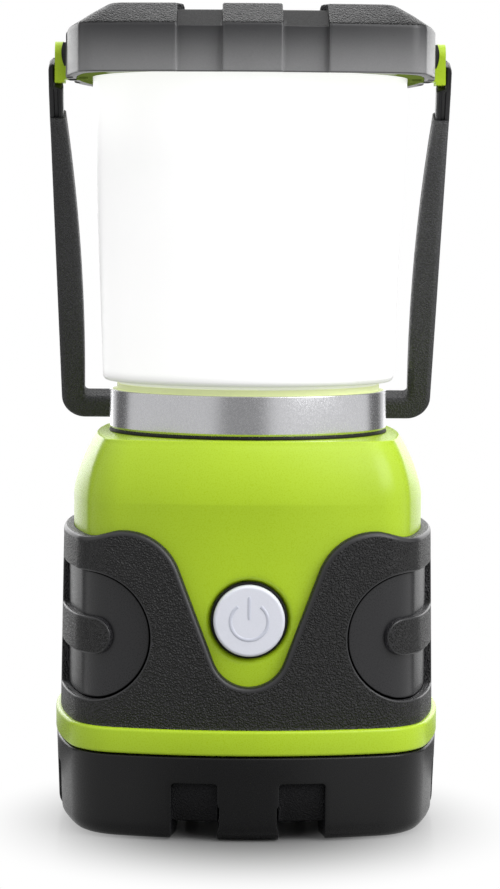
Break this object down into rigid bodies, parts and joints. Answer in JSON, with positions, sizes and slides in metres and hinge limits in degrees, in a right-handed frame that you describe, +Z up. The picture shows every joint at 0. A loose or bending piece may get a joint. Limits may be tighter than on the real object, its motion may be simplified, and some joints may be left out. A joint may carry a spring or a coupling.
{
  "type": "camping lantern",
  "caption": "Battery camping lantern with a squarish rubber-gripped body, round milky shade, black cap, fold-down bail, push button and twist-off base.",
  "frame": {"origin": "middle of the base on the floor", "axes": "+Z up, -Y towards the front with the button, +X to the right seen from the front"},
  "size_m": [0.0944, 0.09, 0.187],
  "materials": {
    "green_plastic": "satin moulded plastic, lime green",
    "grip_rubber": "textured black rubber",
    "panel_plastic": "smooth satin dark plastic",
    "black_plastic": "fine-textured black plastic",
    "button_plastic": "pale translucent plastic",
    "seal_rubber": "black silicone",
    "satin_aluminium": "bead-blasted aluminium",
    "milky_plastic": "milky translucent plastic, lit from inside",
    "white_plastic": "white reflector plastic",
    "clear_plastic": "clear plastic",
    "circuit_board": "solder-masked board",
    "light_board": "white-masked metal board",
    "led_phosphor": "light-emitting chips",
    "switch_plastic": "black plastic",
    "screw_steel": "zinc-plated steel",
    "spring_steel": "nickel-plated spring wire",
    "contact_metal": "plated contact strip",
    "cell_jacket": "plain metal jacket of a dry cell",
    "wire_jacket": "insulated wire"
  },
  "bodies": {
    "lantern_body": {"body_shell": "green_plastic", "grip_wrap": "grip_rubber", "right_side_panel": "panel_plastic", "left_side_panel": "panel_plastic", "right_side_bar": "grip_rubber", "left_side_bar": "grip_rubber", "button_seal": "seal_rubber", "switch_case": "switch_plastic", "control_board": "circuit_board", "board_screws": "screw_steel", "neck_collar": "green_plastic", "trim_ring": "satin_aluminium", "collar_screws": "screw_steel", "heat_sink": "satin_aluminium", "led_board": "light_board", "led_chips": "led_phosphor", "led_board_screws": "screw_steel", "led_cover": "clear_plastic", "led_wires": "wire_jacket", "battery_wires": "wire_jacket", "battery_cradle": "black_plastic", "cradle_screws": "screw_steel", "battery_cells": "cell_jacket", "top_contacts": "contact_metal"},
    "button": {"power_button": "button_plastic", "switch_plunger": "switch_plastic"},
    "shade_gasket": {"shade_seal": "seal_rubber"},
    "shade": {"diffuser": "milky_plastic", "cap_frame": "green_plastic", "cap_cover": "black_plastic", "cap_screws": "screw_steel", "reflector_cone": "white_plastic"},
    "bail": {"bail_frame": "black_plastic", "bail_sleeve": "grip_rubber"},
    "base_gasket": {"base_seal": "seal_rubber"},
    "base": {"base_cover": "black_plastic", "contact_board": "circuit_board", "contact_springs": "spring_steel"},
    "hook": {"hanging_hook": "screw_steel"}
  },
  "joints": [
    {"name": "button_press", "type": "slide", "parent": "lantern_body", "child": "button", "axis": [0, 1, 0], "range_m": [0, 0.001], "stiffness_N_per_m": 1500},
    {"name": "shade_lift", "type": "slide", "parent": "lantern_body", "child": "shade_gasket", "axis": [0, 0, 1], "range_m": [0, 0.0064]},
    {"name": "shade_twist", "type": "hinge", "parent": "shade_gasket", "child": "shade", "pos_m": [0, 0, 0.1], "axis": [0, 0, 1], "range_deg": [0, 60]},
    {"name": "bail_swing", "type": "hinge", "parent": "shade", "child": "bail", "pos_m": [0, 0, 0.1748], "axis": [1, 0, 0], "range_deg": [0, 312.1]},
    {"name": "base_drop", "type": "slide", "parent": "lantern_body", "child": "base_gasket", "axis": [0, 0, -1], "range_m": [0, 0.009]},
    {"name": "base_twist", "type": "hinge", "parent": "base_gasket", "child": "base", "pos_m": [0, 0, 0.0191], "axis": [0, 0, -1], "range_deg": [0, 60]},
    {"name": "hook_fold", "type": "hinge", "parent": "base", "child": "hook", "pos_m": [0, 0.009, 0.0026], "axis": [1, 0, 0], "range_deg": [0, 90]}
  ],
  "couplings": [
    {"joint": "shade_lift", "follows": "shade_twist", "m_per_rad": 0.0061116},
    {"joint": "base_drop", "follows": "base_twist", "m_per_rad": 0.0085944}
  ]
}
